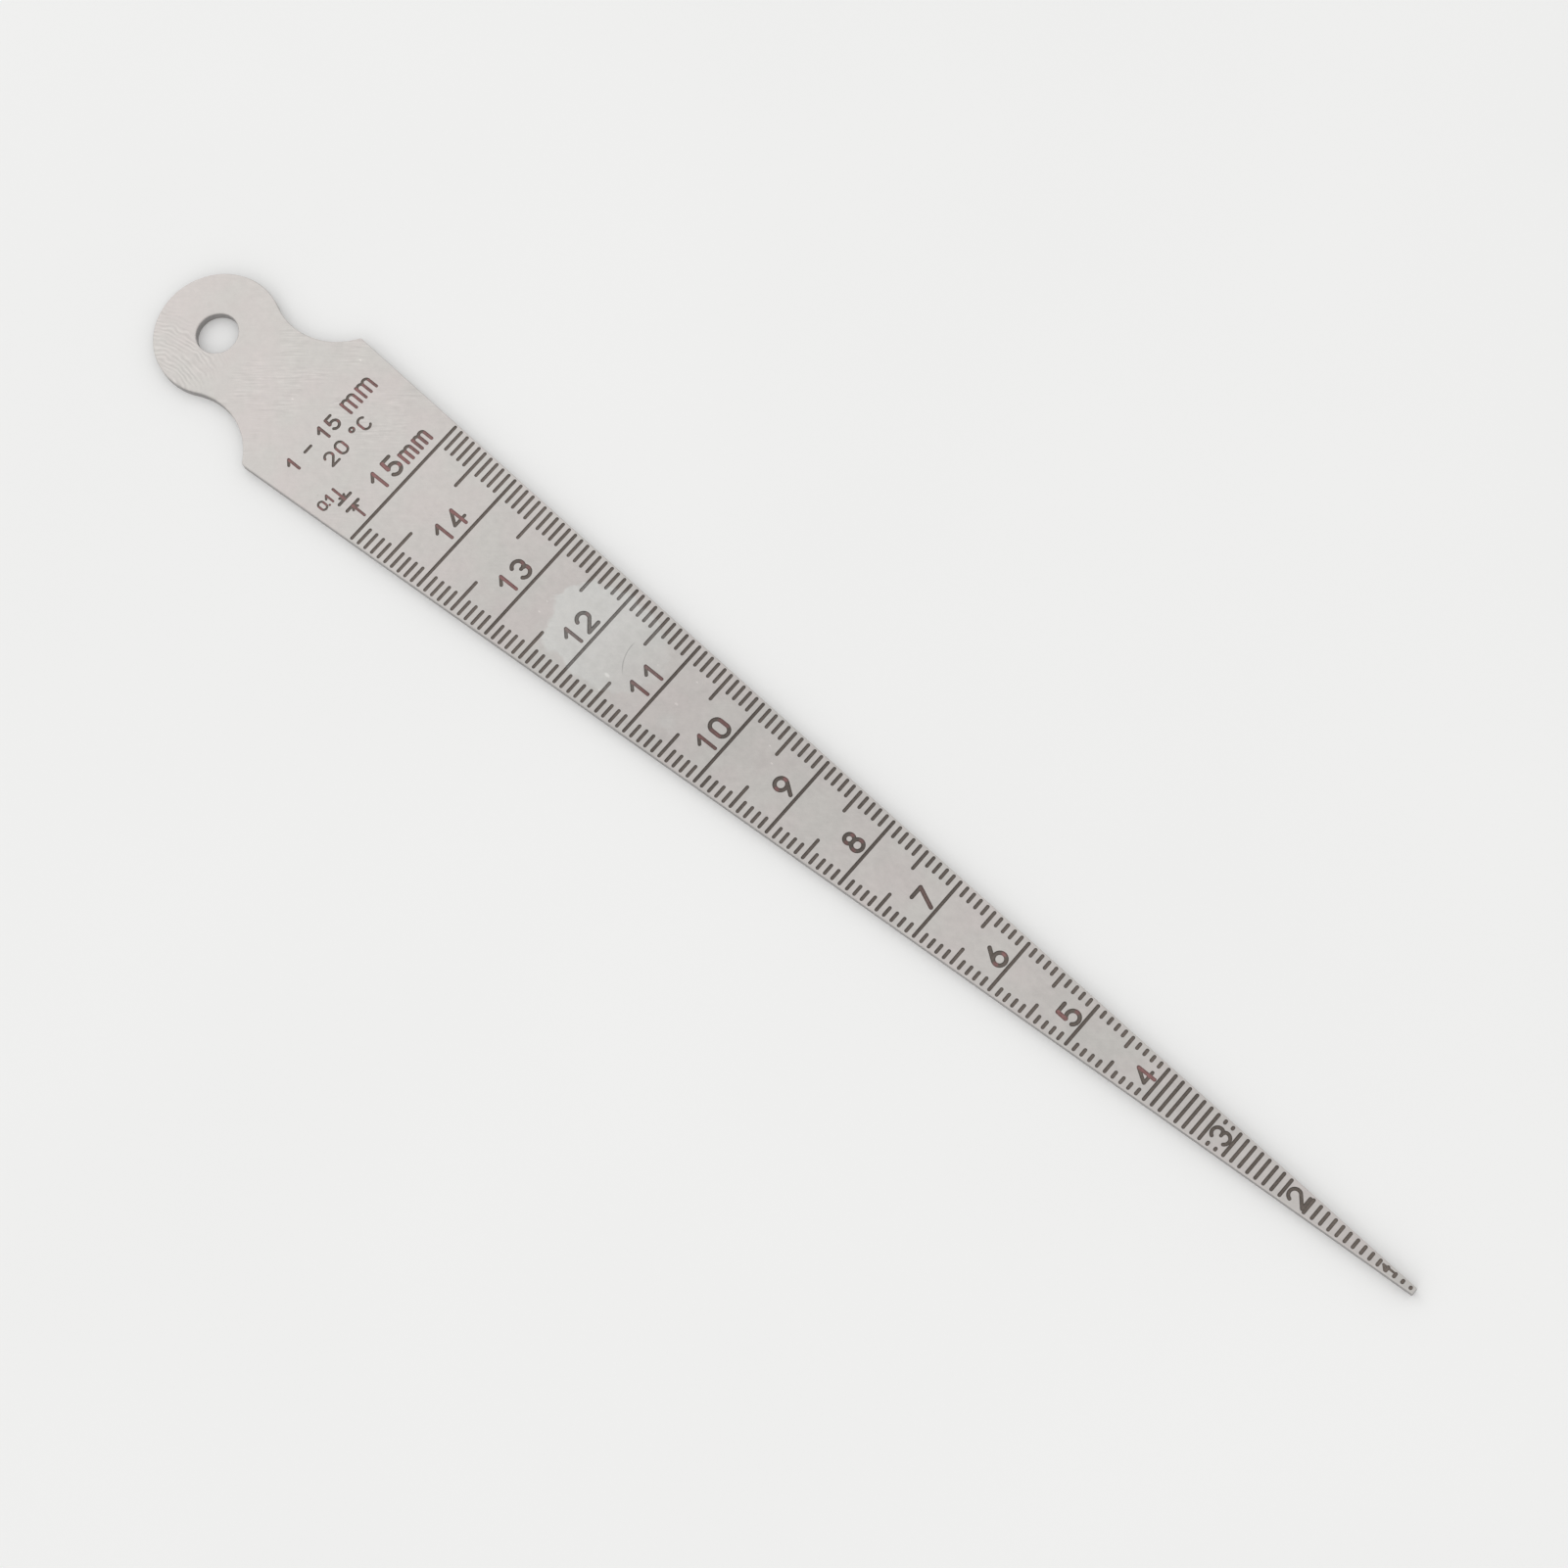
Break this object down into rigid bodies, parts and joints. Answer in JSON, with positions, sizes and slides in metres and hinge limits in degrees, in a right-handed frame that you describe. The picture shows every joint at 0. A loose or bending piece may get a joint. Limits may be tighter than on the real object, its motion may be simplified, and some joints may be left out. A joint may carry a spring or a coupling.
{
  "type": "taper gauge",
  "caption": "Flat steel taper gauge: a blade that widens evenly from a narrow tip, with an engraved millimetre scale across it, a necked round head and a hanging hole.",
  "frame": {"origin": "middle of the length and width, on the plain underside that the gauge lies on", "axes": "+X along the blade towards the tip, +Z out of the graduated face"},
  "size_m": [0.15, 0.0166, 0.001],
  "materials": {
    "steel": "satin"
  },
  "bodies": {
    "root": {"taper_gauge": "steel"}
  },
  "joints": []
}
